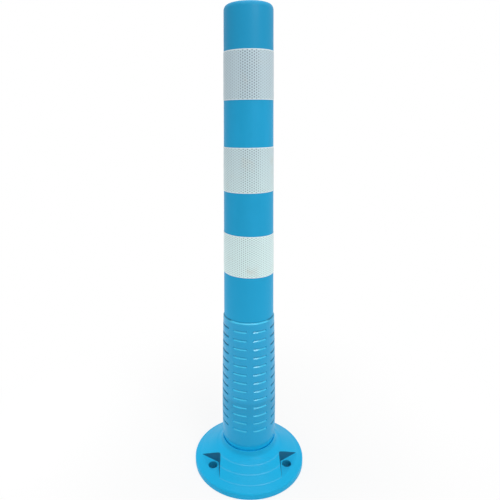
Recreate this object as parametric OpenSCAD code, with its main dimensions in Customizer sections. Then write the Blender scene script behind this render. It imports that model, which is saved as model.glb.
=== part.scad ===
// Flexible delineator post: one soft moulding with three wrapped reflective bands.
// The post stands on the ground at z = 0, on the axis x = y = 0, with its front towards -Y.

/* [Post] */
// Overall height of the moulding
total_h = 750; // [700:10:900]
// Diameter of the post just under its rounded top edge
post_top_d = 69.2; // [62:0.2:74]
// Diameter of the post where it meets the flex sleeve
post_low_d = 81.6; // [78:0.2:82]
// Wall of the hollow post and sleeve
post_wall = 4; // [3:0.5:5]
// Thickness of the closed top
cap_t = 5; // [4:0.5:8]
// Height of the rounded top edge
crown_h = 7; // [4:0.5:10]
// How far the rounded top edge turns in
crown_in = 3; // [2:0.5:5]

/* [Flex sleeve] */
// Height of the top edge of the sleeve above the ground
sleeve_h = 289.2; // [269.2:2:329.2]
// Diameter of the sleeve at its top edge
sleeve_top_d = 84.6; // [83.4:0.2:87]
// Diameter of the sleeve at its foot
sleeve_low_d = 93; // [90:0.2:94]
// Height up to which the sleeve keeps its foot diameter
sleeve_straight_h = 110; // [100:2:130]
// How far the sleeve draws in at its very foot, down in the neck
sleeve_tuck = 2.2; // [1:0.2:2.4]
// Height above the neck at which it starts to draw in
sleeve_tuck_h = 9; // [6:1:12]
// Fullness of the taper above that height, 1 is a plain cone
sleeve_fullness = 1.3; // [1:0.1:1.6]
// Height of the bevel along the top edge
sleeve_bevel = 2; // [1.5:0.1:2.4]
// Depth of the fine groove between post and sleeve
edge_groove_depth = 0.7; // [0.4:0.1:1]
// Height of the fine groove between post and sleeve
edge_groove_h = 2.2; // [1.5:0.1:3]
// Number of groove rows
row_count = 13; // [6:1:13]
// Distance from one groove row to the next
row_pitch = 15.2; // [13:0.1:15.4]
// Depth of the flex grooves
groove_depth = 1.6; // [1:0.1:2]
// Height of the overhanging upper flank of a groove
groove_over_h = 2.4; // [1.6:0.1:3]
// Height of the sloping ledge at the foot of a groove
groove_ledge_h = 1.8; // [1.2:0.1:2.4]
// Number of plain strips that part the grooves
strip_count = 8; // [6:1:10]
// Width of a plain strip, as an angle
strip_angle = 13; // [8:0.5:16]

/* [Base flange] */
// Diameter of the base
base_d = 195.4; // [188:0.2:204]
// Height of the upright side of the rim
rim_side_h = 8.8; // [7:0.2:10]
// Radius of the rounded rim edge
rim_edge_r = 4; // [3:0.5:5]
// Bevel under the rim
rim_foot = 1; // [0.5:0.1:1.5]
// Diameter of the outer step
step_3_d = 169.6; // [166:0.2:172]
// Height of the outer step
step_3_h = 18.4; // [17.8:0.1:20]
// Diameter of the middle step
step_2_d = 143.2; // [140:0.2:147]
// Height of the middle step
step_2_h = 27.1; // [26.1:0.2:28.1]
// Diameter of the inner step
step_1_d = 119.2; // [116:0.2:123]
// Height of the inner step
step_1_h = 35.8; // [34.8:0.2:36.8]
// Drop at each step
step_drop = 1.2; // [0.8:0.1:1.6]
// Width of the slanting edge at each step
step_edge_w = 0.5; // [0.3:0.1:1]
// Height of the neck round the foot of the sleeve
neck_h = 52; // [48:1:56]
// Clearance between the neck and the straight part of the sleeve
neck_gap = 1.2; // [0.8:0.1:1.6]
// Depth of the gap in the neck
neck_gap_depth = 3.6; // [1.6:0.2:4]
// Width of the lip outside that gap
neck_lip = 1; // [0.8:0.1:1.6]
// Bevel on the outside of the lip
neck_lip_bevel = 0.5; // [0.3:0.1:0.7]
// How far the flare of the neck stands out at the inner step
neck_flare_w = 2.6; // [2:0.2:5]
// Height of the bend in the flare above the inner step
neck_flare_h = 5.5; // [4:0.5:9]

/* [Screw pockets] */
// Number of pockets and fixing holes
pocket_count = 3; // [2:1:4]
// Angle between the two walls of a pocket
pocket_angle = 127; // [110:1:130]
// Distance of the pocket corner from the axis
pocket_corner_at = 60.8; // [59:0.2:63]
// Radius in the pocket corner
pocket_corner_r = 3; // [2:0.5:5]
// Height of the pocket floor
pocket_floor_h = 17.3; // [16:0.1:17.8]
// Diameter of the circle through the fixing holes
hole_circle_d = 148.8; // [146:0.2:154]
// Diameter of a fixing hole
hole_d = 15; // [12:0.5:17]

/* [Underside] */
// Shell of the base
base_shell = 5; // [4:0.5:6]
// Wall of the ring under the rim
rim_wall = 5.5; // [4.5:0.5:7]
// Thickness under a pocket floor
pocket_floor_t = 6; // [5:0.5:8]
// Number of radial ribs
rib_count = 12; // [12:6:18]
// Thickness of a rib
rib_t = 3.5; // [2.5:0.5:4]
// Diameter of the boss round a fixing hole
boss_d = 30; // [26:1:32]

/* [Reflective bands] */
// Distance from the top of the post down to the top band
band_from_top = 59.5; // [41.5:2:69.5]
// Height of a band
band_h = 65.2; // [51.2:2:79.2]
// Distance from one band to the next
band_pitch = 130.3; // [100.3:5:145.3]
// Thickness of the tape
band_t = 0.3; // [0.3:0.1:0.6]
// Thickness of the adhesive between post and tape
band_bond = 0.15; // [0.1:0.05:0.3]
// Length of tape that laps over itself at the back
band_lap = 12; // [8:1:20]
// Slant of the bottom band, which was wrapped by hand
bottom_band_tilt = 1.4; // [0:0.1:2.5]

/* [Hidden] */
$fn = 96;

body_blue = "#28a0cf";
tape_white = "#c3d3d8";

// How far a cut runs past the face that it opens.
over = 1;

post_top_r = post_top_d / 2;
post_low_r = post_low_d / 2;
sleeve_top_r = sleeve_top_d / 2;
sleeve_low_r = sleeve_low_d / 2;
base_r = base_d / 2;

// The taper of the post runs from its foot above the fine groove to its rounded edge.
post_foot_z = sleeve_h + edge_groove_h;
crown_z = total_h - crown_h;
function post_r(z) = post_low_r + (post_top_r - post_low_r) * (z - post_foot_z) / (crown_z - post_foot_z);

// The sleeve is upright at its foot and tapers above, a little fuller than a cone.
bevel_z = sleeve_h - sleeve_bevel;
function sleeve_r(z) =
    sleeve_low_r - (sleeve_low_r - sleeve_top_r)
    * pow(max(0, (z - sleeve_straight_h) / (bevel_z - sleeve_straight_h)), sleeve_fullness);

// Middle height of the ledge in each groove row, counted down from the bevel of the sleeve.
row_top_z = sleeve_h - sleeve_bevel / 2;
function row_z(row) = row_top_z - row_pitch * row;
sleeve_steps = 12;
sleeve_points = [
    for (i = [0:sleeve_steps])
        let (z = sleeve_straight_h + (bevel_z - sleeve_straight_h) * i / sleeve_steps)
        [sleeve_r(z), z]
];

function arc(cx, cz, rx, rz, from, to, steps) =
    [for (i = [0:steps]) let (a = from + (to - from) * i / steps) [cx + rx * cos(a), cz + rz * sin(a)]];
function bend(a, b, c, steps) =
    [for (i = [0:steps]) let (t = i / steps) (1 - t) * (1 - t) * a + 2 * t * (1 - t) * b + t * t * c];

// The neck flares up from the inner step to the lip round the sleeve.
lip_in_r = sleeve_low_r + neck_gap;
lip_out_r = lip_in_r + neck_lip;
flare = bend(
    [step_1_d / 2, step_1_h],
    [lip_out_r + neck_flare_w, step_1_h + neck_flare_h],
    [lip_out_r, neck_h - neck_lip_bevel],
    6
);
neck_floor_z = neck_h - neck_gap_depth;

// Down in the gap the sleeve draws in, upright above and ever steeper inwards below.
tuck = bend(
    [sleeve_low_r - sleeve_tuck, neck_floor_z],
    [sleeve_low_r, neck_h + sleeve_tuck_h / 6],
    [sleeve_low_r, neck_h + sleeve_tuck_h],
    5
);

// Foot and top of the slanting edge at a step.
function step_foot(d, h) = [d / 2 + step_edge_w, h - step_drop];
function step_points(d, h) = [step_foot(d, h), [d / 2, h]];

rim_edge = arc(base_r - rim_edge_r, rim_side_h, rim_edge_r, rim_edge_r, 0, 78, 4);
crown = arc(post_r(crown_z) - crown_in, crown_z, crown_in, crown_h, 0, 90, 5);

outer_profile = concat(
    [[0, 0], [base_r - rim_foot, 0], [base_r, rim_foot]],
    rim_edge,
    step_points(step_3_d, step_3_h),
    step_points(step_2_d, step_2_h),
    [step_foot(step_1_d, step_1_h)],
    flare,
    [[lip_out_r - neck_lip_bevel, neck_h], [lip_in_r, neck_h], [lip_in_r, neck_floor_z]],
    tuck,
    sleeve_points,
    [[post_r(post_foot_z) - edge_groove_depth, sleeve_h], [post_r(post_foot_z), post_foot_z]],
    crown,
    [[0, total_h]]
);

// The bore follows the outside and is open at the ground. Behind the grooves its wall is thicker.
sleeve_wall = post_wall + groove_depth / 2;
bore_top_z = total_h - cap_t;
bore_blend_h = 6;
bore_bevel = 3;
bore_profile = concat(
    [[0, -over], [sleeve_low_r - sleeve_wall, -over]],
    [for (p = sleeve_points) [p[0] - sleeve_wall, p[1]]],
    [[post_r(post_foot_z) - post_wall, post_foot_z + bore_blend_h]],
    [[post_r(bore_top_z) - post_wall, bore_top_z - bore_bevel]],
    [[post_r(bore_top_z) - post_wall - bore_bevel, bore_top_z], [0, bore_top_z]]
);

// The hollow under the base lies between the sleeve's wall and the rim, one shell below the dome.
function under_step(d, h) = [d / 2, h - step_drop - base_shell];
hollow_peak_w = 3;
cavity_profile = [
    [sleeve_low_r, -over],
    [base_r - rim_wall, -over],
    [base_r - rim_wall, rim_side_h - over],
    under_step(step_3_d, step_3_h),
    under_step(step_2_d, step_2_h),
    under_step(step_1_d, step_1_h),
    [sleeve_low_r + hollow_peak_w, step_1_h],
    [sleeve_low_r, step_1_h]
];

// Plan of a pocket: two straight walls that meet in a round corner, open to the rim.
module pocket_plan(corner_at) {
    half = pocket_angle / 2;
    centre = corner_at + pocket_corner_r / sin(half);
    corner = arc(centre, 0, pocket_corner_r, pocket_corner_r, 90 + half, 270 - half, 6);
    reach = 2 * base_r;
    far_x = corner[0][0] + reach * cos(half);
    far_y = corner[0][1] + reach * sin(half);
    polygon(concat(corner, [[far_x, -far_y], [far_x, far_y]]));
}

// Pockets and holes lie at equal turns, with one of them straight behind.
module at_pockets() {
    for (i = [0:pocket_count - 1])
        rotate([0, 0, 90 + 360 / pocket_count * i]) children();
}

module pockets() {
    at_pockets()
        translate([0, 0, pocket_floor_h]) linear_extrude(neck_h) pocket_plan(pocket_corner_at);
}

module pocket_shells() {
    at_pockets()
        translate([0, 0, pocket_floor_h - pocket_floor_t])
            linear_extrude(neck_h)
                pocket_plan(pocket_corner_at - base_shell / sin(pocket_angle / 2));
}

module fixing_holes() {
    at_pockets()
        translate([hole_circle_d / 2, 0, -over]) cylinder(h = pocket_floor_h + 2 * over, d = hole_d);
}

module bosses() {
    at_pockets()
        translate([hole_circle_d / 2, 0, 0]) cylinder(h = pocket_floor_h, d = boss_d);
}

module ribs() {
    rib_l = base_r - rim_wall - sleeve_low_r + 2 * over;
    for (i = [0:rib_count - 1])
        rotate([0, 0, 360 / rib_count * (i + 0.5)])
            translate([sleeve_low_r - over, -rib_t / 2, 0]) cube([rib_l, rib_t, neck_h]);
}

module base_cavity() {
    difference() {
        rotate_extrude() polygon(cavity_profile);
        ribs();
        bosses();
        pocket_shells();
    }
}

// One comb cuts all groove rows between two plain strips. Its back stands clear of the sleeve.
comb_back_in = sleeve_low_r + 2 * over;
comb_back_out = comb_back_in + 3 * over;
function tooth(row) =
    let (z = row_z(row), r = sleeve_r(z), low_z = z - groove_ledge_h / 2, mid_z = z + groove_ledge_h / 2)
    let (high_z = mid_z + groove_over_h)
    [
        [comb_back_in, low_z - over],
        [r + over, low_z - over],
        [r, low_z],
        [r - groove_depth, mid_z],
        [r, high_z],
        [r + over, high_z + over],
        [comb_back_in, high_z + over]
    ];
teeth = [for (row = [row_count:-1:1]) each tooth(row)];
comb_profile = concat(
    [[comb_back_out, teeth[0][1] - over]],
    teeth,
    [[comb_back_out, teeth[len(teeth) - 1][1] + over]]
);

module groove_combs() {
    for (i = [0:strip_count - 1])
        rotate([0, 0, -90 + 360 / strip_count * i + strip_angle / 2])
            rotate_extrude(angle = 360 / strip_count - strip_angle) polygon(comb_profile);
}

module post_moulding() {
    color(body_blue)
    difference() {
        rotate_extrude() polygon(outer_profile);
        rotate_extrude() polygon(bore_profile);
        base_cavity();
        pockets();
        fixing_holes();
        groove_combs();
    }
}

// Middle height of a band, counted down from the top one.
function band_z(index) = total_h - band_from_top - band_h / 2 - band_pitch * index;

// Section of a layer of tape, from one distance off the post to another.
function tape_section(low_z, top_z, inside, outside) = [
    [post_r(low_z) + inside, low_z],
    [post_r(low_z) + outside, low_z],
    [post_r(top_z) + outside, top_z],
    [post_r(top_z) + inside, top_z]
];

// A band is a layer of tape between two planes, which lean where it was wrapped askew.
// Its end laps over its start at the back of the post.
module band(index, tilt) {
    slant_h = post_low_d * sin(tilt) + over;
    low_z = band_z(index) - band_h / 2 - slant_h;
    top_z = band_z(index) + band_h / 2 + slant_h;
    lap_angle = band_lap / post_r(top_z) * 180 / PI;
    slab_w = post_low_d + 10 * over;
    color(tape_white)
    intersection() {
        union() {
            rotate_extrude() polygon(tape_section(low_z, top_z, band_bond, band_bond + band_t));
            rotate([0, 0, 90 - lap_angle / 2])
                rotate_extrude(angle = lap_angle)
                    polygon(tape_section(low_z, top_z, band_bond + band_t / 2, band_bond + 2 * band_t));
        }
        translate([0, 0, band_z(index)])
            rotate([0, tilt, 0]) cube([slab_w, slab_w, band_h], center = true);
    }
}

module reflective_band_top() {
    band(0, 0);
}

module reflective_band_middle() {
    band(1, 0);
}

module reflective_band_bottom() {
    band(2, bottom_band_tilt);
}

post_moulding();
reflective_band_top();
reflective_band_middle();
reflective_band_bottom();
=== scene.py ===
from math import acos, cos, hypot, pi, radians, sin

import bmesh
import bpy
from mathutils import Matrix, Vector


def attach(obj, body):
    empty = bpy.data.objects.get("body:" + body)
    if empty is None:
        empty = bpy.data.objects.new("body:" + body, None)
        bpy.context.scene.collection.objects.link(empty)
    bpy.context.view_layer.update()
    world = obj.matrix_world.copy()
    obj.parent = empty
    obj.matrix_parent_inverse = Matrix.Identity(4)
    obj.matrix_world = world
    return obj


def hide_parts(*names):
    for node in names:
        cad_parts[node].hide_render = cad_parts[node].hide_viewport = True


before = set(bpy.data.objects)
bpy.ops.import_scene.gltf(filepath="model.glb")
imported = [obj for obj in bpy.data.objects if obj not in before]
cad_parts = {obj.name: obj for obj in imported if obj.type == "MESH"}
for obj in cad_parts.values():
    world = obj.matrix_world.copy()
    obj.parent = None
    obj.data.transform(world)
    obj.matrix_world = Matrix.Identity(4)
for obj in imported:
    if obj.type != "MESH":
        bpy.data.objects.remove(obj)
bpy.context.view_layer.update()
mm = 0.001


# one socket's output; maths on it adds Math nodes to its tree
class Wire:
    def __init__(self, graph, socket):
        self.graph = graph
        self.socket = socket

    # another output of the same node, by its name or number
    def other(self, key):
        return Wire(self.graph, self.socket.node.outputs[key])

    def maths(self, operation, *rest):
        return self.graph.maths(operation, self, *rest)

    def __add__(self, value):
        return self.maths("ADD", value)

    def __sub__(self, value):
        return self.maths("SUBTRACT", value)

    def __rsub__(self, value):
        return self.graph.maths("SUBTRACT", value, self)

    def __mul__(self, value):
        return self.maths("MULTIPLY", value)

    def __truediv__(self, value):
        return self.maths("DIVIDE", value)

    def __rtruediv__(self, value):
        return self.graph.maths("DIVIDE", value, self)

    __radd__ = __add__
    __rmul__ = __mul__


# a node tree, filled one node at a time
class Graph:
    def __init__(self, tree):
        self.tree = tree

    # settings are set first, then each socket gets its value or link
    def put(self, kind, settings=(), sockets=()):
        node = self.tree.nodes.new(kind)
        for name, value in dict(settings).items():
            if name == "points":
                self.fillCurve(node.mapping, value)
            else:
                setattr(node, name, value)
        for key, value in dict(sockets).items():
            if isinstance(value, Wire):
                self.tree.links.new(value.socket, node.inputs[key])
            else:
                node.inputs[key].default_value = value
        return Wire(self, node.outputs[0]) if len(node.outputs) else node

    # a curve with straight lines between its points
    def fillCurve(self, mapping, points):
        curve = mapping.curves[0]
        while len(curve.points) < len(points):
            curve.points.new(0.5, 0.5)
        for point, place in zip(curve.points, points):
            point.location = place
            point.handle_type = "VECTOR"
        mapping.update()

    def maths(self, operation, *values):
        return self.put("ShaderNodeMath", {"operation": operation}, enumerate(values))

    # a mix of two colours: a Mix node has them in sockets 6 and 7, and its colour in output 2
    def mixed(self, factor, first, second):
        return self.put("ShaderNodeMix", {"data_type": "RGBA", "clamp_factor": True},
                        {0: factor, 6: first, 7: second}).other(2)

    # a soft step from 0 to 1 between two values
    def softStep(self, value, low, high):
        return self.put("ShaderNodeMapRange", {"interpolation_type": "SMOOTHSTEP"},
                        {"Value": value, "From Min": low, "From Max": high})

    def noise(self, place, scale, detail, roughness):
        return self.put("ShaderNodeTexNoise", (), {
            "Vector": place, "Scale": scale, "Detail": detail, "Roughness": roughness})

    # relief so many metres high
    def bumped(self, height, strength, distance):
        return self.put("ShaderNodeBump", (), {"Strength": strength, "Distance": distance, "Height": height})


def addObject(name, mesh):
    thing = bpy.data.objects.new(name, mesh)
    bpy.context.scene.collection.objects.link(thing)
    return thing


# the evaluated object becomes a plain mesh, and its modifiers go
def makePlain(thing):
    bpy.context.view_layer.update()
    evaluated = thing.evaluated_get(bpy.context.evaluated_depsgraph_get())
    mesh = bpy.data.meshes.new_from_object(evaluated)
    thing.modifiers.clear()
    old = thing.data
    thing.data = mesh
    bpy.data.meshes.remove(old)
    return thing


# solids are cut out of a solid one by one
def carve(thing, cutters):
    for cutter in cutters:
        cut = thing.modifiers.new("cut", "BOOLEAN")
        cut.operation = "DIFFERENCE"
        cut.solver = "MANIFOLD"
        cut.object = cutter
    makePlain(thing)
    for cutter in cutters:
        bpy.data.objects.remove(cutter)
    return thing


# a smooth shaded mesh that keeps its edges past an angle in degrees
def smoothMesh(mesh, sharpAngle):
    mesh.polygons.foreach_set("use_smooth", [True] * len(mesh.polygons))
    mesh.set_sharp_from_angle(angle=radians(sharpAngle))


# a geometry tree with named inputs: name and socket type
def newGeometryTree(name, inputs):
    tree = bpy.data.node_groups.new(name, "GeometryNodeTree")
    tree.interface.new_socket("Geometry", in_out="INPUT", socket_type="NodeSocketGeometry")
    for label, kind in inputs.items():
        tree.interface.new_socket(label, in_out="INPUT", socket_type="NodeSocket" + kind)
    tree.interface.new_socket("Geometry", in_out="OUTPUT", socket_type="NodeSocketGeometry")
    graph = Graph(tree)
    return graph, graph.put("NodeGroupInput")


# a grid with a row for each point of the line: it gives the grid, the column and a reader of the line
def gridAlong(graph, line, columns):
    rows = graph.put("GeometryNodeAttributeDomainSize", {"component": "MESH"}, {"Geometry": line})
    grid = graph.put("GeometryNodeMeshGrid", (), {"Vertices X": columns + 1, "Vertices Y": rows})
    index = graph.put("GeometryNodeInputIndex")
    row = index.maths("MODULO", rows)
    column = (index / rows).maths("FLOOR")

    def readLine(kind, value):
        return graph.put("GeometryNodeSampleIndex", {"data_type": kind, "domain": "POINT"},
                         {"Geometry": line, "Value": value, "Index": row})

    return grid, column, readLine


# the points of the grid move to (radius, turn, height); the turn starts at the front
def moveGrid(graph, grid, radius, turn, height):
    place = graph.put("ShaderNodeCombineXYZ", (), {
        "X": radius * turn.maths("SINE"), "Y": radius * turn.maths("COSINE") * -1, "Z": height})
    return graph.put("GeometryNodeSetPosition", (), {"Geometry": grid, "Position": place})


# the seam closes where points lie so many metres apart, and the tree ends
def finishGeometryTree(graph, geometry, material, seam):
    closed = graph.put("GeometryNodeMergeByDistance", (), {"Geometry": geometry, "Distance": seam})
    real = graph.put("GeometryNodeRealizeInstances", (), {"Geometry": closed})
    painted = graph.put("GeometryNodeSetMaterial", (), {"Geometry": real, "Material": material})
    graph.put("NodeGroupOutput", (), {0: painted})


# the tree goes on a thing with its named inputs, by the sockets' identifiers
def applyTree(thing, graph, values):
    modifier = thing.modifiers.new("tree", "NODES")
    modifier.node_group = graph.tree
    sockets = graph.tree.interface.items_tree
    identifiers = {item.name: item.identifier for item in sockets if item.in_out == "INPUT"}
    for label, value in values.items():
        modifier[identifiers[label]] = value
    return makePlain(thing)


# a mesh of one open line of points (x, height) in millimetres
def lineMesh(name, points):
    mesh = bpy.data.meshes.new(name)
    edges = [(i, i + 1) for i in range(len(points) - 1)]
    mesh.from_pydata([(x * mm, 0, z * mm) for x, z in points], edges, [])
    return mesh


# the camera is fitted to the photograph's outline, bands, steps and holes
cameraView = {
    "bearing": -2.60,      # degrees round the post from its front
    "away": 0.6795,        # metres from the post's axis
    "height": 0.6007,
    "aside": 0.0001,
    "pan": 0.49,           # degrees, as the next two are
    "pitch": 16.09,
    "roll": 0.631,
    "focal": 443.4,        # pixels, as the next three are
    "centreX": 233.04,
    "centreY": 246.24,
    "frame": 500,
    "sensor": 36,          # millimetres
}


def makeCamera(view):
    data = bpy.data.cameras.new("view")
    data.sensor_width = view["sensor"]
    data.lens = view["focal"] * data.sensor_width / view["frame"]
    data.shift_x = (view["frame"] / 2 - view["centreX"]) / view["frame"]
    data.shift_y = (view["centreY"] - view["frame"] / 2) / view["frame"]
    camera = addObject("view", data)
    bearing, pan, pitch, roll = (radians(view[key]) for key in ("bearing", "pan", "pitch", "roll"))
    place = Vector((view["away"] * sin(bearing) + view["aside"] * cos(bearing),
                    view["aside"] * sin(bearing) - view["away"] * cos(bearing), view["height"]))
    flat = Vector((sin(pan), cos(pan), 0))
    right = Vector((cos(pan), -sin(pan), 0))
    ahead = flat * cos(pitch) - Vector((0, 0, sin(pitch)))
    up = flat * sin(pitch) + Vector((0, 0, cos(pitch)))
    turnedRight = right * cos(roll) - up * sin(roll)
    turnedUp = right * sin(roll) + up * cos(roll)
    matrix = Matrix((turnedRight, turnedUp, -ahead)).transposed().to_4x4()
    matrix.translation = place
    camera.matrix_world = matrix
    bpy.context.scene.camera = camera


makeCamera(cameraView)
print("camera stands")


# sizes of the moulding, in millimetres, as the frame has them; a "round" is how far a corner is rounded
post = {
    "top": 749.99,         # just inside the frame's height
    "topWidth": 69.2, "lowWidth": 81.6, "wall": 4, "cap": 5, "capBevel": 3,
    "crownHeight": 7, "crownIn": 5.5,
    "ring": 12,            # from one ring of faces to the next
    "ringGap": 8,          # from the last ring to the crown, at least
}
sleeve = {
    "top": 289.2, "topWidth": 84.6, "lowWidth": 93,
    "straight": 110, "fullness": 1.3,      # straight so far up, then drawn in along a curve
    "bevel": 2, "bevelRound": 0.5,
    "bevelFrom": 0.6, "bevelTurn": 0.5,      # the wall's last points, so far below the bevel
    "seamDepth": 0.7, "seamHeight": 2.2, "seamRound": 0.4, "seamOut": 4,
    "tuck": 3.9, "tuckHeight": 13, "tuckRound": 0.5,
    "rows": 13, "pitch": 15.2, "groovesFrom": 1,      # the grooved wall starts so far above the tuck
    "cut": 1.6, "ledge": 2.0, "roof": 2.4,     # a groove's depth, and the heights of its two slopes
    "plain": 3.2,          # the flat stretch that is kept above and below a groove
    "ledgeRound": 0.7, "rootRound": 0.35, "roofRound": 0.8, "postRound": 0.8,
    "strips": 8, "stripAngle": 13, "grooveEnd": 0.9,     # angles in degrees
    "columnsAStrip": 22, "boreRings": 12, "boreRise": 6,
}
base = {
    "width": 195.2, "rimSide": 8.8, "rimRound": 4, "rimTurn": 78, "foot": 1, "footRound": 0.3,
    "steps": ((169.6, 18.4), (143.2, 27.1), (119.2, 35.8)),      # width and height, from the rim inwards
    "between": (0.35, 0.7),      # shares of the slope under each step, at which it gets a point
    "drop": 1.2, "edge": 1.5, "edgeFootRound": 0.5, "edgeTopRound": 0.6,
    "neck": 51.3, "gap": -1.4, "gapDepth": 3, "gapRound": 0.8,      # the neck ends under the sleeve's bulge
    "lip": 1.5, "lipBevel": 0.5, "lipRound": 0.3, "flareRound": 0.2, "flareOut": 2.6, "flareUp": 5.5,
    "shell": 5, "rimWall": 5.5, "ribs": 12, "rib": 3.5, "peak": 3,
}
pocket = {
    "count": 3, "angle": 127, "cornerAt": 60.8, "cornerRound": 5.5, "floor": 17.3, "floorWall": 6,
    "footRound": 1.2, "draft": 2, "draftTop": 28,
    "holeCircle": 148.8, "hole": 15, "boss": 30,
    "holeMouth": ((0, 0.7), (0.2, 0.25), (0.8, 0)),      # how far out and how far below the floor
}
over = 1     # how far a cut runs past the face that it opens
arcSteps = {"corner": 3, "rim": 7, "bend": 8, "crown": 10, "hole": 48, "pocketCorner": 8, "pocketFoot": 4}

postFoot = sleeve["top"] + sleeve["seamHeight"]
crownAt = post["top"] - post["crownHeight"]
bevelAt = sleeve["top"] - sleeve["bevel"]
footRadius = sleeve["lowWidth"] / 2


def postRadius(z):
    low, high = post["lowWidth"] / 2, post["topWidth"] / 2
    return low + (high - low) * (z - postFoot) / (crownAt - postFoot)


def sleeveRadius(z):
    rise = max(0, (z - sleeve["straight"]) / (bevelAt - sleeve["straight"]))
    return footRadius - (footRadius - sleeve["topWidth"] / 2) * rise ** sleeve["fullness"]


# a curve from one point to another, drawn towards a third
def bend(start, towards, end, steps):
    points = []
    for i in range(steps + 1):
        t = i / steps
        points.append(tuple((1 - t) ** 2 * p + 2 * t * (1 - t) * q + t * t * s
                            for p, q, s in zip(start, towards, end)))
    return points


def ellipseArc(centre, wide, high, start, end, steps):
    turns = [radians(start + (end - start) * i / steps) for i in range(steps + 1)]
    return [(centre[0] + wide * cos(a), centre[1] + high * sin(a)) for a in turns]


# corners of a line of (x, y, radius) get rounded; a radius of 0 keeps the corner
def roundCorners(points):
    share = 0.48     # of each side, that a corner takes at most
    line = []
    for i, (x, y, radius) in enumerate(points):
        if not radius or i in (0, len(points) - 1):
            line.append((x, y))
            continue
        here = Vector((x, y))
        back = Vector(points[i - 1][:2]) - here
        on = Vector(points[i + 1][:2]) - here
        reach = min(radius, back.length * share, on.length * share)
        start, end = here + back.normalized() * reach, here + on.normalized() * reach
        line += bend(start, here, end, arcSteps["corner"])
    return line


# columns crowd at the ends of the grooves: spots in degrees, from a strip's middle to halfway to the next
def columnCurve(half):
    share = 180 / sleeve["strips"]
    edge, end = sleeve["stripAngle"] / 2, sleeve["grooveEnd"]
    spots = [0, edge * 0.5, edge * 0.88, edge, edge + end / 2, edge + end, edge + 2]
    rest = half - len(spots) + 1
    spots += [spots[-1] + (share - spots[-1]) * (i + 1) / rest for i in range(rest)]
    return [(i / half, spot / share) for i, spot in enumerate(spots)]


# a profile line goes round the axis, with grooves between the plain strips
def buildTurnTree():
    graph, given = newGeometryTree("turnProfile", {
        "Columns": "Int", "Strips": "Int", "Strip angle": "Float", "Groove end": "Float",
        "Material": "Material"})
    columns, strips = given.other("Columns"), given.other("Strips")
    grid, column, readLine = gridAlong(graph, given, columns)
    spot = readLine("FLOAT_VECTOR", graph.put("GeometryNodeInputPosition"))
    cut = readLine("FLOAT", graph.put("GeometryNodeInputNamedAttribute", {"data_type": "FLOAT"},
                                      {"Name": "cut"}))
    # the nearest plain strip, and the share of the way from it to the next
    along = column / columns * strips
    nearest = (along + 0.5).maths("FLOOR")
    aside = along - nearest
    crowded = graph.put("ShaderNodeFloatCurve", {"points": columnCurve(sleeve["columnsAStrip"] // 2)},
                        {"Value": aside.maths("ABSOLUTE") * 2})
    share = pi / strips
    offset = crowded * share
    turn = nearest * share * 2 + offset * aside.maths("SIGN")
    edge = given.other("Strip angle") / 2
    opened = graph.softStep(offset, edge, edge + given.other("Groove end"))
    flat = graph.put("ShaderNodeSeparateXYZ", (), {0: spot})
    moved = moveGrid(graph, grid, flat - cut * opened, turn, flat.other("Z"))
    finishGeometryTree(graph, moved, given.other("Material"), seam=0.00001)
    return graph


turnTree = buildTurnTree()


# a line of (radius, height) or (radius, height, depth of the groove there) becomes a turned solid
def turned(name, line, material):
    mesh = lineMesh(name, [point[:2] for point in line])
    depth = mesh.attributes.new("cut", "FLOAT", "POINT")
    depth.data.foreach_set("value", [point[2] * mm if len(point) > 2 else 0 for point in line])
    return applyTree(addObject(name, mesh), turnTree, {
        "Columns": sleeve["strips"] * sleeve["columnsAStrip"], "Strips": sleeve["strips"],
        "Strip angle": radians(sleeve["stripAngle"]), "Groove end": radians(sleeve["grooveEnd"]),
        "Material": material})


# a closed prism from outlines at several heights, all with the same number of points
def loft(name, levels):
    mesh = bpy.data.meshes.new(name)
    solid = bmesh.new()
    rings = [[solid.verts.new((x * mm, y * mm, z * mm)) for x, y in outline] for outline, z in levels]
    count = len(rings[0])
    for low, high in zip(rings, rings[1:]):
        for i in range(count):
            j = (i + 1) % count
            solid.faces.new((low[i], low[j], high[j], high[i]))
    solid.faces.new(list(reversed(rings[0])))
    solid.faces.new(rings[-1])
    solid.to_mesh(mesh)
    solid.free()
    return addObject(name, mesh)


def turnOutline(outline, angle):
    c, s = cos(angle), sin(angle)
    return [(x * c - y * s, x * s + y * c) for x, y in outline]


def circleOutline(centre, radius):
    count = arcSteps["hole"]
    turns = [2 * pi * i / count for i in range(count)]
    return [(centre + radius * cos(a), radius * sin(a)) for a in turns]


# two straight walls that meet in a round corner; an inset moves them into the pocket
def pocketOutline(inset):
    half = radians(pocket["angle"] / 2)
    centre = pocket["cornerAt"] + pocket["cornerRound"] / sin(half)
    radius = pocket["cornerRound"] - inset
    steps = arcSteps["pocketCorner"]
    turns = [pi / 2 + half + (pi - 2 * half) * i / steps for i in range(steps + 1)]
    corner = [(centre + radius * cos(a), radius * sin(a)) for a in turns]
    reach = base["width"]
    farX, farY = corner[0][0] + reach * cos(half), corner[0][1] + reach * sin(half)
    return corner + [(farX, -farY), (farX, farY)]


pocketTurns = [pi / 2 + 2 * pi / pocket["count"] * i for i in range(pocket["count"])]


# the groove rows as corners of (depth, height, rounding), from the lowest row up
def grooveCorners(low, high):
    corners = [(0, low, 0)]
    topRow = sleeve["top"] - sleeve["bevel"] / 2
    for row in range(sleeve["rows"], 0, -1):
        foot = topRow - sleeve["pitch"] * row - sleeve["ledge"] / 2
        root = foot + sleeve["ledge"]
        roof = root + sleeve["roof"]
        corners += [(0, foot - sleeve["plain"], 0), (0, foot, sleeve["ledgeRound"]),
                    (sleeve["cut"], root, sleeve["rootRound"]), (0, roof, sleeve["roofRound"]),
                    (0, roof + sleeve["plain"], 0)]
    return corners + [(0, high, 0)]


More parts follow.
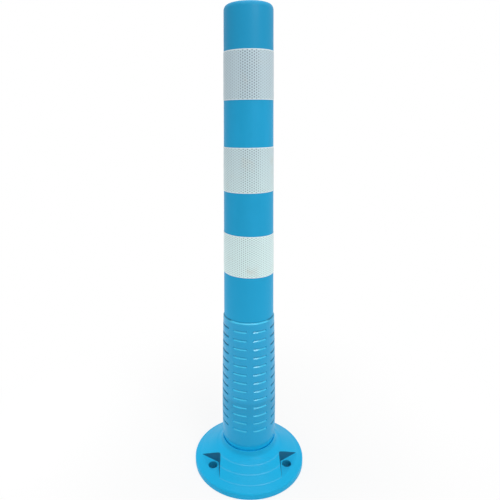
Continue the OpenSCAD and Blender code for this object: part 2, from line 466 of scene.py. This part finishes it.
# the underside, the rim and the worn steps, as corners of (radius, height, rounding)
def rimAndSteps():
    edge = base["width"] / 2
    footRound, rimRound = base["footRound"], base["rimRound"]
    line = [(0, 0, 0), (edge - base["foot"], 0, footRound), (edge, base["foot"], footRound)]
    middle = (edge - rimRound, base["rimSide"])
    rim = ellipseArc(middle, rimRound, rimRound, 0, base["rimTurn"], arcSteps["rim"])
    line += [(x, z, 0) for x, z in rim]
    for width, height in base["steps"]:
        x, z, _ = line[-1]
        footX, footZ = width / 2 + base["edge"], height - base["drop"]
        line += [(x + (footX - x) * part, z + (footZ - z) * part, 0) for part in base["between"]]
        line += [(footX, footZ, base["edgeFootRound"]), (width / 2, height, base["edgeTopRound"])]
    return line


# on from the last step: the flare, the neck's lip, the gap behind it and the sleeve's tucked foot
def neckAndTuck(inner):
    lipIn = footRadius + base["gap"]
    lipOut = lipIn + base["lip"]
    floor = base["neck"] - base["gapDepth"]
    flare = bend(inner[:2], (lipOut + base["flareOut"], inner[1] + base["flareUp"]),
                 (lipOut, base["neck"] - base["lipBevel"]), arcSteps["bend"])
    line = [(x, z, 0) for x, z in flare[1:-1]]
    line += [(*flare[-1], base["flareRound"]), (lipOut - base["lipBevel"], base["neck"], base["lipRound"]),
             (lipIn, base["neck"], base["lipRound"]), (lipIn, floor, base["gapRound"])]
    tuck = bend((footRadius - sleeve["tuck"], floor), (footRadius, base["neck"] + sleeve["tuckHeight"] / 2),
                (footRadius, base["neck"] + sleeve["tuckHeight"]), arcSteps["bend"])
    return line + [(*tuck[0], sleeve["tuckRound"])] + [(x, z, 0) for x, z in tuck[1:]]


# the sleeve's bevel and the seam over it, up to the post's foot
def seamCorners():
    groovesEnd = bevelAt - sleeve["bevelFrom"]
    return [(sleeveRadius(groovesEnd), bevelAt - sleeve["bevelTurn"], 0),
            (sleeve["topWidth"] / 2, bevelAt, sleeve["bevelRound"]),
            (postRadius(postFoot) - sleeve["seamDepth"], sleeve["top"], sleeve["seamRound"]),
            (postRadius(postFoot), postFoot, sleeve["postRound"]),
            (postRadius(postFoot + sleeve["seamOut"]), postFoot + sleeve["seamOut"], 0)]


def outerLine():
    foot = rimAndSteps()
    line = roundCorners(foot + neckAndTuck(foot[-1]))
    grooves = roundCorners(grooveCorners(base["neck"] + sleeve["tuckHeight"] + sleeve["groovesFrom"],
                                         bevelAt - sleeve["bevelFrom"]))
    line += [(sleeveRadius(z), z, depth) for depth, z in grooves]
    line += roundCorners(seamCorners())
    rings = range(int(postFoot) + post["ring"], int(crownAt) - post["ringGap"], post["ring"])
    line += [(postRadius(z), z) for z in rings]
    line += ellipseArc((postRadius(crownAt) - post["crownIn"], crownAt), post["crownIn"], post["crownHeight"],
                       0, 90, arcSteps["crown"])
    return line + [(0, post["top"])]


def boreLine():
    wall = post["wall"] + sleeve["cut"] / 2
    top = post["top"] - post["cap"]
    line = [(0, -over), (footRadius - wall, -over)]
    for i in range(sleeve["boreRings"] + 1):
        z = sleeve["straight"] + (bevelAt - sleeve["straight"]) * i / sleeve["boreRings"]
        line.append((sleeveRadius(z) - wall, z))
    line.append((postRadius(postFoot) - post["wall"], postFoot + sleeve["boreRise"]))
    inside = postRadius(top) - post["wall"]
    return line + [(inside, top - post["capBevel"]), (inside - post["capBevel"], top), (0, top)]


# the hollow under the base, round the sleeve's wall, one shell below the dome
def hollowLine():
    inside = base["width"] / 2 - base["rimWall"]
    line = [(footRadius, -over), (inside, -over), (inside, base["rimSide"] - over)]
    line += [(width / 2, height - base["drop"] - base["shell"]) for width, height in base["steps"]]
    top = base["steps"][-1][1]
    return line + [(footRadius + base["peak"], top), (footRadius, top), (footRadius, -over)]


# what stays solid in the hollow: ribs, and for each pocket its shell and the boss of its hole
def hollowFillers():
    low, high = -2 * over, base["neck"]
    inside, outside = footRadius - over, base["width"] / 2 - base["rimWall"] + over
    half = base["rib"] / 2
    rib = [(inside, -half), (outside, -half), (outside, half), (inside, half)]
    fillers = []
    for i in range(base["ribs"]):
        outline = turnOutline(rib, 2 * pi / base["ribs"] * (i + 0.5))
        fillers.append(loft("rib", [(outline, low), (outline, high)]))
    for turn in pocketTurns:
        boss = turnOutline(circleOutline(pocket["holeCircle"] / 2, pocket["boss"] / 2), turn)
        fillers.append(loft("boss", [(boss, low), (boss, pocket["floor"])]))
        shell = turnOutline(pocketOutline(-base["shell"]), turn)
        fillers.append(loft("shell", [(shell, pocket["floor"] - pocket["floorWall"]), (shell, high)]))
    return fillers


# a pocket's walls lean out from its floor up, with a fillet at the foot
def pocketCutter(turn):
    radius, floor, steps = pocket["footRound"], pocket["floor"], arcSteps["pocketFoot"]

    def drafted(z):
        return pocket["draft"] * (pocket["draftTop"] - z) / (pocket["draftTop"] - floor)

    levels = []
    for i in range(steps + 1):
        a = pi / 2 * i / steps
        z = floor + radius * (1 - cos(a))
        levels.append((turnOutline(pocketOutline(radius * (1 - sin(a)) + drafted(z)), turn), z))
    top = base["neck"] + over
    levels.append((turnOutline(pocketOutline(drafted(top)), turn), top))
    return loft("pocket", levels)


def holeCutter(turn):
    hole, floor = pocket["hole"] / 2, pocket["floor"]
    rings = [(hole, -over)] + [(hole + out, floor - below) for out, below in pocket["holeMouth"]]
    rings.append((rings[-1][0], floor + over))
    middle = pocket["holeCircle"] / 2
    return loft("hole", [(turnOutline(circleOutline(middle, radius), turn), z) for radius, z in rings])


def smooth(value, low, high):
    t = min(1, max(0, (value - low) / (high - low)))
    return t * t * (3 - 2 * t)


# the sleeve leans on the neck in front, so the gap there is shallow: angles in degrees from the front
lean = {
    "openFrom": 12, "openTo": 45,
    "easeFrom": 60, "easeTo": 85, "ease": 0.5,      # beyond the sides the gap is half as deep
    "least": 0.05, "most": 0.5,      # shares of the modelled depth
    "wallFrom": 0.3, "wallTo": 2.5, "wallShare": 0.25,      # the floor rises towards the neck, in millimetres
    "under": 0.4,      # below the top of the lip
    "slack": 0.1,
}


def fillGap(mesh):
    top, slack = base["neck"] - lean["under"], lean["slack"]
    inner, outer = footRadius - sleeve["tuck"] - slack, footRadius + base["gap"] + slack / 2
    floor = base["neck"] - base["gapDepth"] - slack
    for vertex in mesh.vertices:
        x, y, z = vertex.co / mm
        r = hypot(x, y)
        if inner < r < outer and floor < z < top:
            turn = acos(max(-1, min(1, -y / r)))
            eased = 1 - smooth(turn, radians(lean["easeFrom"]), radians(lean["easeTo"])) * lean["ease"]
            opened = smooth(turn, radians(lean["openFrom"]), radians(lean["openTo"])) * eased
            inward = smooth(footRadius + base["gap"] - r, lean["wallFrom"], lean["wallTo"])
            inward = inward * (1 - lean["wallShare"]) + lean["wallShare"]
            vertex.co.z = (top - (top - z) * (opened * lean["most"] + lean["least"]) * inward) * mm


# painted shade, painted highlight and gloss of the moulding: lengths in millimetres, slopes as the upward
# part of a face's direction
paintedLightAndGloss = {
    "wallReach": 2.6, "wallAbove": 0.4, "wallTop": 45, "wallSlope": 0.75,
    "wallEnd": 87, "wallFade": 2.5,      # the walls' shade ends near the rim
    "holeReach": 0.5, "holeBelow": 0.1, "holeShade": 0.6,
    "ledgeSlopeFrom": 0.45, "ledgeSlopeTo": 0.8,      # slopes of a ledge and of a step's edge
    "overhang": -0.2,      # a face that looks down more than this is a groove's roof
    "near": 1,
    "sideFrom": 0.62, "sideTo": 0.8,      # a groove is at the side past these shares of its radius
    "stepWorn": 0.45, "stepFrom": 0.3, "stepTo": 0.8,      # the steps are worn in front
    "roofShade": 0.35, "sideShade": 1.6,      # a groove's shade in front, and how fast it deepens at the side
    "flareShade": 0.22, "flareIn": 0.6, "flareReach": 5, "flareLow": 37, "flareFrom": 41.5, "flareTo": 47,
}


# how much painted shade a place in a pocket's wall or a hole gets
def pocketShade(x, y, z, slope):
    half = radians(pocket["angle"] / 2)
    steep = slope < paintedLightAndGloss["wallSlope"] and pocket["floor"] + paintedLightAndGloss["wallAbove"] < z < paintedLightAndGloss["wallTop"]
    shade = 0.0
    for turn in pocketTurns:
        along, aside = x * cos(turn) + y * sin(turn), abs(y * cos(turn) - x * sin(turn))
        depth = (along - pocket["cornerAt"]) * sin(half) - aside * cos(half)
        fromHole = hypot(along - pocket["holeCircle"] / 2, aside)
        if depth > -paintedLightAndGloss["wallReach"] and steep:
            shade = 1.0
        if fromHole < pocket["hole"] / 2 + paintedLightAndGloss["holeReach"] and z < pocket["floor"] - paintedLightAndGloss["holeBelow"]:
            shade = paintedLightAndGloss["holeShade"]
    return shade


def onStepEdge(r, z):
    edge, drop = base["edge"], base["drop"]
    return any(abs(r - width / 2 - edge / 2) < edge and abs(z - height + drop / 2) < drop
               for width, height in base["steps"])


# one list holds the painted shade of each corner of a face, the other how glossy each face's edge is, with a
# painted highlight on the sleeve's bevel and its ledges
def shadeFaces(mesh):
    deep, shine = [0.0] * len(mesh.loops), []
    lip = footRadius + base["gap"] + base["lip"]
    lowest, highest = base["neck"] + sleeve["tuckHeight"], sleeve["top"] + paintedLightAndGloss["near"]
    for face in mesh.polygons:
        x, y, z = face.center / mm
        r, slope = hypot(x, y), face.normal.z
        walls = pocketShade(x, y, z, abs(slope))
        onSleeve = r < footRadius and lowest < z < highest
        side = smooth(abs(x) / max(r, 1), paintedLightAndGloss["sideFrom"], paintedLightAndGloss["sideTo"])
        glossAndHighlight = 0.0
        # a painted highlight as well as gloss on the sleeve's bevel and its ledges in front, and gloss only
        # on the steps' edges
        if paintedLightAndGloss["ledgeSlopeFrom"] < slope < paintedLightAndGloss["ledgeSlopeTo"]:
            if onSleeve:
                glossAndHighlight = 1 if z > bevelAt - paintedLightAndGloss["near"] else 1 - side
            elif onStepEdge(r, z) and not walls:
                glossAndHighlight = paintedLightAndGloss["stepWorn"] * smooth(-y / r, paintedLightAndGloss["stepFrom"], paintedLightAndGloss["stepTo"])
        shine.append(glossAndHighlight)
        inGroove = onSleeve and (slope < paintedLightAndGloss["overhang"] or slope > paintedLightAndGloss["ledgeSlopeFrom"] and side)
        roof = paintedLightAndGloss["roofShade"] if slope < 0 else 0
        # painted shade for each corner: in the pockets' walls and holes, in the grooves, and on the neck's
        # flare
        for loop in face.loop_indices:
            x, y, z = mesh.vertices[mesh.loops[loop].vertex_index].co / mm
            r = hypot(x, y)
            shade = walls
            if inGroove:
                share = max(0, (sleeveRadius(z) - r) / sleeve["cut"])
                shade = roof * (1 - side) * share + side * min(1, share * paintedLightAndGloss["sideShade"])
            elif not walls and -paintedLightAndGloss["flareIn"] < r - lip < paintedLightAndGloss["flareReach"] and z > paintedLightAndGloss["flareLow"]:
                shade = paintedLightAndGloss["flareShade"] * smooth(z, paintedLightAndGloss["flareFrom"], paintedLightAndGloss["flareTo"])
            elif z > pocket["floor"]:
                shade = walls * smooth(paintedLightAndGloss["wallEnd"] - r, 0, paintedLightAndGloss["wallFade"])
            deep[loop] = shade
    mesh.attributes.new("deep", "FLOAT", "CORNER").data.foreach_set("value", deep)
    mesh.attributes.new("shine", "FLOAT", "FACE").data.foreach_set("value", shine)


def makeMoulding(material):
    hollow = carve(turned("hollow", hollowLine(), material), hollowFillers())
    bore = turned("bore", boreLine(), material)
    moulding = turned("moulding", outerLine(), material)
    fillGap(moulding.data)
    pockets = [pocketCutter(turn) for turn in pocketTurns]
    carve(moulding, [bore, hollow] + pockets + [holeCutter(turn) for turn in pocketTurns])
    moulding.data.materials.clear()
    moulding.data.materials.append(material)
    smoothMesh(moulding.data, sharpAngle=38)
    shadeFaces(moulding.data)
    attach(moulding, "root")
    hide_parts("post_moulding")
    print("moulding made:", len(moulding.data.polygons), "faces")


# the reflective bands: a strip of tape wrapped round the post for each, in millimetres
tape = {
    "places": ("top", "middle", "bottom"), "slants": (0, 0, 1.4),      # slants in degrees
    "fromTop": 59.5, "height": 65.2, "pitch": 130.3, "thickness": 0.3, "off": 0.15,
    "lap": 12, "lapRise": 1.05,      # the lap lies one thickness further out, and a little
    "riseTurn": 0.14, "endTurn": 0.3,      # radians: where the lap rises, and the spread of the end columns
    "columns": 144,
    "edge": ((1, 0.5), (0.998, 0.2), (0.99, 0.03)),      # shares of the half height and of the thickness
    "rows": (0.97, 0.8, 0.55, 0.3, 0.1),
}


# a section line goes round the post's taper, and its end laps over its start at the back
def buildTapeTree():
    graph, given = newGeometryTree("wrapTape", {
        "Columns": "Int", "Middle": "Float", "Slant": "Float", "Off": "Float", "Thickness": "Float",
        "Lap": "Float", "Ground radius": "Float", "Taper": "Float", "Material": "Material"})
    columns = given.other("Columns")
    grid, column, readLine = gridAlong(graph, given, columns)
    section = graph.put("ShaderNodeSeparateXYZ", (), {
        0: readLine("FLOAT_VECTOR", graph.put("GeometryNodeInputPosition"))})
    middleRadius = given.other("Ground radius") + given.other("Taper") * given.other("Middle")
    lapTurn = given.other("Lap") / middleRadius
    # the two end columns close the strip to an edge
    inner = (column - 1) / (columns - 2)
    along = inner.maths("MINIMUM", 1).maths("MAXIMUM", 0)
    shut = column.maths("LESS_THAN", 0.5) + column.maths("GREATER_THAN", columns - 0.5)
    turn = (along - 0.5) * (lapTurn + 2 * pi) + (inner - along) * tape["endTurn"]
    thickness = given.other("Thickness")
    lapFrom = pi - lapTurn * 0.5
    lift = graph.softStep(turn, lapFrom - tape["riseTurn"], lapFrom) * thickness * tape["lapRise"]
    depth = section * (1 - shut) + thickness * 0.5 * shut
    slant = given.other("Slant")
    side = middleRadius * turn.maths("SINE")
    up = section.other("Z")
    height = given.other("Middle") + up / slant.maths("COSINE") - side * slant.maths("TANGENT")
    radius = given.other("Ground radius") + given.other("Taper") * height + given.other("Off") + depth + lift
    moved = moveGrid(graph, grid, radius, turn, height)
    onTape = graph.put("ShaderNodeCombineXYZ", (), {"X": turn * middleRadius, "Y": up, "Z": turn})
    kept = graph.put("GeometryNodeStoreNamedAttribute", {"data_type": "FLOAT_VECTOR", "domain": "POINT"},
                     {"Geometry": moved, "Name": "onTape", "Value": onTape})
    finishGeometryTree(graph, kept, given.other("Material"), seam=0.000004)
    return graph


tapeTree = buildTapeTree()


# section of the tape, a loop of (depth, height) with the same heights outside and inside
def tapeSection():
    upper = [*tape["edge"], *((part, 0) for part in tape["rows"])]
    section = upper + [(-part, inset) for part, inset in reversed(upper)]
    thick, half = tape["thickness"], tape["height"] / 2
    outside = [(thick - thick * inset, half * part) for part, inset in section]
    inside = [(thick * inset, half * part) for part, inset in section]
    return list(reversed(outside)) + inside[1:]


def makeBand(index, material):
    place = tape["places"][index]
    low, high = 300, 700      # two heights on the post, for its taper
    taper = (postRadius(high) - postRadius(low)) / (high - low)
    band = addObject("band." + place, lineMesh("band." + place, tapeSection()))
    applyTree(band, tapeTree, {
        "Columns": tape["columns"], "Slant": radians(tape["slants"][index]),
        "Off": tape["off"] * mm, "Thickness": tape["thickness"] * mm, "Lap": tape["lap"] * mm,
        "Middle": (post["top"] - tape["fromTop"] - tape["height"] / 2 - tape["pitch"] * index) * mm,
        "Ground radius": (postRadius(low) - low * taper) * mm, "Taper": taper, "Material": material})
    smoothMesh(band.data, sharpAngle=50)
    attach(band, "root")
    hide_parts("reflective_band_" + place)


def newMaterial(name):
    material = bpy.data.materials.new(name)
    material.use_nodes = True
    material.node_tree.nodes.clear()
    return material, Graph(material.node_tree)


def finishMaterial(graph, shader):
    graph.put("ShaderNodeOutputMaterial", (), {"Surface": shader})


# Object coordinates, and the height of a place over the ground
def objectPlace(graph):
    place = graph.put("ShaderNodeTexCoord").other("Object")
    return place, graph.put("ShaderNodeSeparateXYZ", (), {0: place}).other("Z")


def readAttribute(graph, name, output):
    return graph.put("ShaderNodeAttribute", {"attribute_name": name}).other(output)


# the blue changes with its height as painted light: painted shade darkens the upper post, and the sleeve, its
# foot and the base are painted lighter; each fade is from one height to another, in metres
blue = {
    "colour": (0.010, 0.345, 0.63, 1), "pale": (0.014, 0.375, 0.69, 1),
    "high": (0.011, 0.298, 0.55, 1), "highFade": (0.58, 0.72),
    "sleeve": (0.012, 0.385, 0.70, 1), "sleeveFade": (0.28, 0.46),
    "foot": (0.004, 0.455, 0.82, 1), "footFade": (0.08, 0.16),
    "low": (0.006, 0.425, 0.745, 1), "lowFade": (0.03, 0.06),
    # edge is the paler blue of the painted highlight, shade the dark blue of the painted shade
    "edge": (0.04, 0.60, 0.88, 1), "edgeShare": 0.85, "shade": (0.008, 0.125, 0.24, 1),
    "cloud": (28, 3, 0.6), "streak": (60, 2, 0.5), "fine": (900, 2, 0.55),      # scale, detail and roughness
    "drawn": (1, 1, 0.06),      # the streaks run up the post
    "mottle": 0.6, "mottleFade": (0.35, 0.65), "sleeveMottle": 0.5,
    "roughness": 0.46, "cloudy": 0.1, "grain": 0.04, "ior": 1.25,
    "coat": 0.4, "upperCoat": 0.06, "coatFade": (0.05, 0.06), "coatRoughness": 0.2, "coatIor": 1.5,
    "bump": 0.12, "bumpHeight": 0.3, "coatEnd": 0.6,      # the height and the end in millimetres
}


def blueMoulding():
    material, graph = newMaterial("blueMoulding")
    place, height = objectPlace(graph)
    drawn = graph.put("ShaderNodeMapping", (), {"Vector": place, "Scale": blue["drawn"]})
    cloud, fine = graph.noise(place, *blue["cloud"]), graph.noise(place, *blue["fine"])
    streak = graph.noise(drawn, *blue["streak"])
    deep, shine = readAttribute(graph, "deep", "Fac"), readAttribute(graph, "shine", "Fac")
    mottled = graph.softStep(cloud * 0.5 + streak * 0.5, *blue["mottleFade"]) * blue["mottle"]
    lowDown = 1 - graph.softStep(height, *blue["sleeveFade"])
    colour = graph.mixed(mottled, blue["colour"], blue["pale"])
    # painted shade high up on the post, and painted light on the sleeve, its foot and the base
    colour = graph.mixed(graph.softStep(height, *blue["highFade"]), colour, blue["high"])
    colour = graph.mixed(lowDown * (1 - mottled * blue["sleeveMottle"]), colour, blue["sleeve"])
    colour = graph.mixed(1 - graph.softStep(height, *blue["footFade"]), colour, blue["foot"])
    colour = graph.mixed(1 - graph.softStep(height, *blue["lowFade"]), colour, blue["low"])
    # painted highlight: the sleeve's bevel and its ledges in front are painted a paler blue
    colour = graph.mixed(graph.softStep(shine, 0.5, 1) * blue["edgeShare"], colour, blue["edge"])
    # painted shade: the pockets, holes, grooves and the neck's flare are painted a dark blue
    colour = graph.mixed(deep, colour, blue["shade"])
    # the sleeve is glossier than the post and the base, and a half worn edge is as glossy as a worn one
    coatTop = sleeve["top"] * mm
    pastSleeve = graph.softStep(height, coatTop - blue["coatEnd"] * mm, coatTop)
    onSleeve = graph.softStep(height, *blue["coatFade"]) - pastSleeve
    glossy = onSleeve * blue["coat"] + blue["upperCoat"]
    glossAndHighlight = (shine * 2).maths("MINIMUM", 1)
    shader = graph.put("ShaderNodeBsdfPrincipled", (), {
        "Base Color": colour, "IOR": blue["ior"],
        "Roughness": cloud * blue["cloudy"] + (blue["roughness"] - blue["cloudy"] / 2) + fine * blue["grain"],
        "Coat Weight": (glossy * (1 - glossAndHighlight) + glossAndHighlight) * (1 - deep),
        "Coat Roughness": blue["coatRoughness"], "Coat IOR": blue["coatIor"],
        "Normal": graph.bumped(fine, blue["bump"], blue["bumpHeight"] * mm)})
    finishMaterial(graph, shader)
    return material


# the tape is white with a honeycomb of grey dots; painted shade darkens it high up, and a painted reflection
# darkens its dots in front and high up; lengths in millimetres, heights over the ground in metres
white = {
    "high": (0.515, 0.65, 0.715, 1), "low": (0.73, 0.93, 0.93, 1), "heightFade": (0.36, 0.68),
    "dot": (0.11, 0.15, 0.22, 1), "dotFade": (0.2, 0.75), "frontFade": (0.86, 1),
    "dotShare": 0.45, "dotFront": 0.1, "dotFrontHigh": 0.45,      # the dots are darkest in front and high up
    "edge": (0.84, 0.90, 0.90, 1), "edgeFrom": 1.4, "edgeTo": 0.8, "edgeShare": 0.7,
    "stain": (0.62, 0.62, 0.55, 1), "stainFade": (0.55, 0.85), "stainShare": 0.6,
    "cloud": (34, 3, 0.55),      # the stain's scale, detail and roughness
    "cell": 3.63, "roughness": 0.34, "cellRoughness": 0.05, "ior": 1.45,
    "ridge": (0.8, 1), "bump": 0.3, "bumpHeight": 0.2,
}


# 0 in the middle of a cell and 1 at its edge: the nearer of two grids, half a cell apart
def honeycomb(graph, across, up):
    tall = white["cell"] * mm
    wide = tall * 3 ** 0.5

    def centred(value, size, shift):
        return ((value / size + shift).maths("FRACT") * size - size / 2).maths("ABSOLUTE")

    def hexEdge(shift):
        rise, side = centred(up, tall, shift), centred(across, wide, shift)
        return rise.maths("MAXIMUM", rise * 0.5 + side * (3 ** 0.5 / 2))

    return hexEdge(0).maths("MINIMUM", hexEdge(0.5)) / (tall / 2)


def reflectiveTape():
    material, graph = newMaterial("reflectiveTape")
    across = graph.put("ShaderNodeSeparateXYZ", (), {0: readAttribute(graph, "onTape", "Vector")})
    up, turn = across.other("Y"), across.other("Z")
    place, height = objectPlace(graph)
    cell = honeycomb(graph, across, up)
    dots = 1 - graph.softStep(cell, *white["dotFade"])
    front = graph.softStep(turn.maths("COSINE"), *white["frontFade"])
    raised = graph.softStep(height, *white["heightFade"])
    half = tape["height"] / 2
    rim = graph.softStep(up.maths("ABSOLUTE"), (half - white["edgeFrom"]) * mm, (half - white["edgeTo"]) * mm)
    stained = graph.softStep(graph.noise(place, *white["cloud"]), *white["stainFade"]) * white["stainShare"]
    # painted reflection: the dots are painted darker in front and high up
    dotted = front * (raised * white["dotFrontHigh"] + white["dotFront"]) + white["dotShare"]
    # painted shade: the tape is painted darker high up
    colour = graph.mixed(raised, white["low"], white["high"])
    colour = graph.mixed(stained, colour, white["stain"])
    colour = graph.mixed(dots * dotted * (1 - rim), colour, white["dot"])
    colour = graph.mixed(rim * white["edgeShare"], colour, white["edge"])
    ridge = graph.softStep(cell, *white["ridge"])
    shader = graph.put("ShaderNodeBsdfPrincipled", (), {
        "Base Color": colour, "IOR": white["ior"],
        "Roughness": cell * white["cellRoughness"] + white["roughness"],
        "Normal": graph.bumped(ridge, white["bump"], white["bumpHeight"] * mm)})
    finishMaterial(graph, shader)
    return material


# the floor and the world; lengths in metres
studio = {
    "floor": (0.84, 0.84, 0.84, 1), "floorLift": 0.82, "world": 0.53,
    "white": (1, 1, 1, 1), "reach": 6, "below": 0.0003, "shadowFrom": 0.12, "shadowTo": 0.6,
}
# each lamp: bearing and height in degrees, metres from its aim, the aim's height, its sides and its power
lamps = {
    "key": {
        "bearing": 29, "height": 41, "away": 1.9, "aim": 0.1, "wide": 0.75, "tall": 0.5,
        "power": 8, "colour": (1, 0.985, 0.95), "mirrored": True,
    },
    "top": {
        "bearing": 10, "height": 84, "away": 1.7, "aim": 0.05, "wide": 1.3, "tall": 1.3,
        "power": 9.5, "colour": (1, 1, 1), "mirrored": True,
    },
    "left": {
        "bearing": -105, "height": 4, "away": 0.6, "aim": 0.12, "wide": 0.4, "tall": 0.15,
        "power": 0.9, "colour": (1, 1, 1), "mirrored": False,      # the low side lamps only fill
    },
    "right": {
        "bearing": 108, "height": 4, "away": 0.6, "aim": 0.12, "wide": 0.4, "tall": 0.15,
        "power": 0.45, "colour": (1, 1, 1), "mirrored": False,
    },
}


# 1 for a ray that sees the background as plain white: the camera's, a reflected or a transmitted one
def seesBackground(graph):
    path = graph.put("ShaderNodeLightPath")
    reflected = path.maths("MAXIMUM", path.other("Is Glossy Ray"))
    return reflected.maths("MAXIMUM", path.other("Is Transmission Ray"))


# white to the eye, with the object's shadow near its foot
def makeFloor():
    material, graph = newMaterial("floor")
    place = graph.put("ShaderNodeTexCoord").other("Object")
    away = graph.put("ShaderNodeVectorMath", {"operation": "LENGTH"}, {0: place}).other("Value")
    far = graph.softStep(away, studio["shadowFrom"], studio["shadowTo"])
    plain = graph.put("ShaderNodeBsdfDiffuse", (), {"Color": studio["floor"]})
    lit = graph.put("ShaderNodeEmission", (), {"Color": studio["white"], "Strength": 1})
    share = seesBackground(graph) * (far * (1 - studio["floorLift"]) + studio["floorLift"])
    finishMaterial(graph, graph.put("ShaderNodeMixShader", (), {0: share, 1: plain, 2: lit}))
    mesh = bpy.data.meshes.new("floor")
    reach = studio["reach"]
    corners = ((-reach, -reach), (reach, -reach), (reach, reach), (-reach, reach))
    mesh.from_pydata([(x, y, -studio["below"]) for x, y in corners], [], [(0, 1, 2, 3)])
    mesh.materials.append(material)
    addObject("floor", mesh)


def makeWorld():
    world = bpy.data.worlds.new("studio")
    bpy.context.scene.world = world
    world.use_nodes = True
    world.node_tree.nodes.clear()
    graph = Graph(world.node_tree)
    strength = seesBackground(graph) * (1 - studio["world"]) + studio["world"]
    light = graph.put("ShaderNodeBackground", (), {"Color": studio["white"], "Strength": strength})
    graph.put("ShaderNodeOutputWorld", (), {"Surface": light})


def makeLamp(name, values):
    data = bpy.data.lights.new(name, "AREA")
    data.shape = "RECTANGLE"
    data.size, data.size_y = values["wide"], values["tall"]
    data.energy = values["power"]
    data.color = values["colour"]
    lamp = addObject(name, data)
    bearing, height = radians(values["bearing"]), radians(values["height"])
    way = Vector((sin(bearing) * cos(height), -cos(bearing) * cos(height), sin(height)))
    lamp.location = Vector((0, 0, values["aim"])) + way * values["away"]
    lamp.rotation_euler = way.to_track_quat("Z", "Y").to_euler()
    lamp.visible_glossy = values["mirrored"]


makeMoulding(blueMoulding())
tapeFinish = reflectiveTape()
for index in range(len(tape["places"])):
    makeBand(index, tapeFinish)
print("bands wrapped")
makeFloor()
makeWorld()
for name, values in lamps.items():
    makeLamp(name, values)
bpy.context.scene.view_settings.view_transform = "Standard"
print("studio lit")
